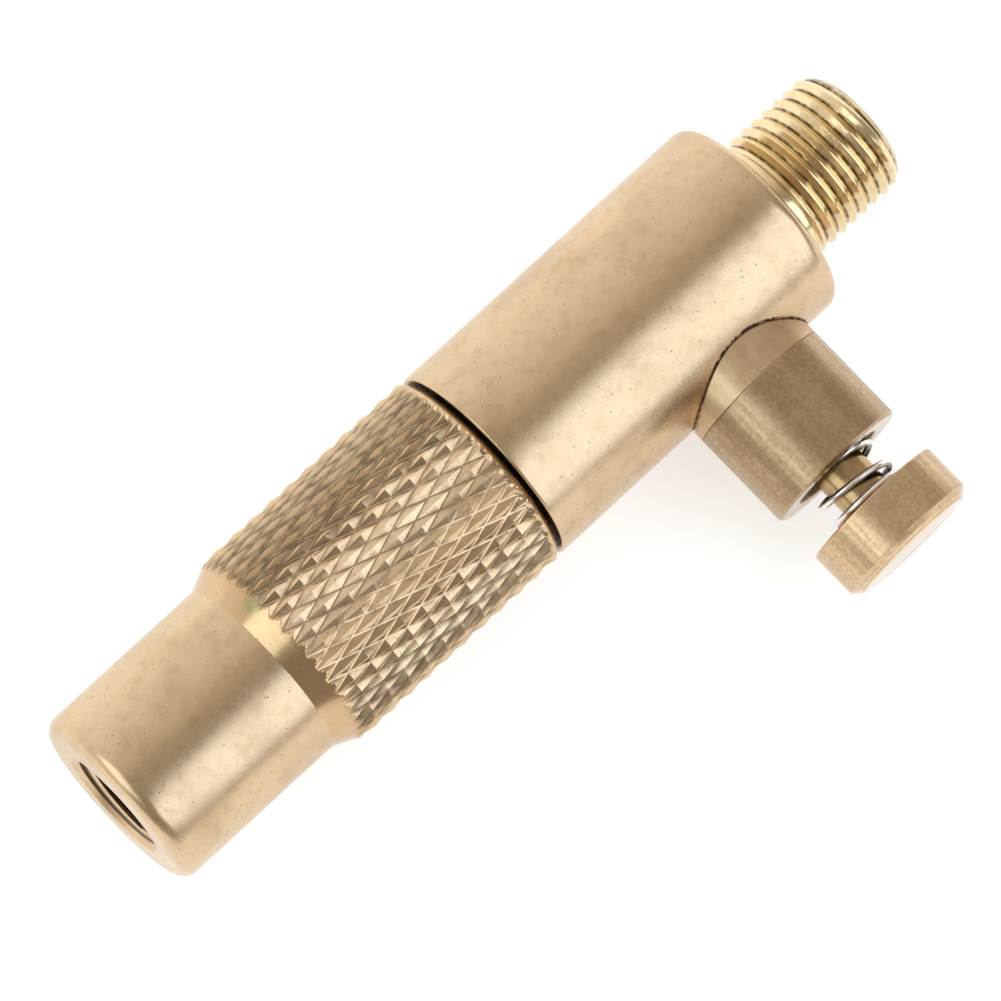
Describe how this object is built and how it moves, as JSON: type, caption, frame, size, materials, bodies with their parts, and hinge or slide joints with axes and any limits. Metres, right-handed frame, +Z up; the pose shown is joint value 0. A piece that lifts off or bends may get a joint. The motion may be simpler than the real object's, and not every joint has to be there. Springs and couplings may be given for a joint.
{
  "type": "needle valve",
  "caption": "Brass needle valve with a male inlet thread, a knurled twist sleeve with a threaded outlet nose, and a spring-loaded side button.",
  "frame": {"origin": "on the main axis, in the shoulder plane that the inlet thread grows out of", "axes": "+X along the main axis out of the inlet thread, the nose to -X, the button to -Y, +Z up when the valve lies on its side"},
  "size_m": [0.0705, 0.0323, 0.0162],
  "materials": {
    "satin_brass": "tumbled satin, faintly pitted",
    "knurled_brass": "satin, diamond knurled",
    "thread_brass": "bright turned thread",
    "turned_brass": "fine turned finish",
    "stem_brass": "turned",
    "sintered_bronze": "porous sintered",
    "needle_steel": "ground stainless steel",
    "spring_steel": "bright drawn wire",
    "seal_rubber": "moulded black",
    "seat_plastic": "turned white"
  },
  "bodies": {
    "barrel": {"valve_body": "satin_brass", "inlet_nipple": "thread_brass", "inlet_filter": "sintered_bronze", "nipple_o_ring": "seal_rubber", "needle_carrier": "turned_brass", "valve_needle": "needle_steel", "needle_lock_nut": "stem_brass", "saddle_ring": "satin_brass", "button_housing": "turned_brass", "housing_o_ring": "seal_rubber", "return_spring": "spring_steel"},
    "sliding_seal": {"sleeve_o_ring": "seal_rubber", "sleeve_backup_ring": "seat_plastic"},
    "sleeve": {"knurled_sleeve": "knurled_brass", "valve_seat": "seat_plastic", "seat_retainer": "turned_brass", "outlet_gasket": "seal_rubber"},
    "button": {"button_plunger": "stem_brass", "plunger_o_ring": "seal_rubber", "button_cap": "turned_brass"}
  },
  "joints": [
    {"name": "sleeve_travel", "type": "slide", "parent": "barrel", "child": "sliding_seal", "axis": [-1, 0, 0], "range_m": [-0.00025, 0.002]},
    {"name": "sleeve_turn", "type": "hinge", "parent": "sliding_seal", "child": "sleeve", "pos_m": [-0.044, 0, 0], "axis": [-1, 0, 0], "range_deg": [-90, 720]},
    {"name": "button_press", "type": "slide", "parent": "barrel", "child": "button", "axis": [0, 1, 0], "range_m": [0, 0.003], "stiffness_N_per_m": 600, "springref_m": -0.003, "deforming": ["return_spring"]}
  ],
  "couplings": [
    {"joint": "sleeve_turn", "follows": "sleeve_travel", "rad_per_m": 6283.2}
  ]
}
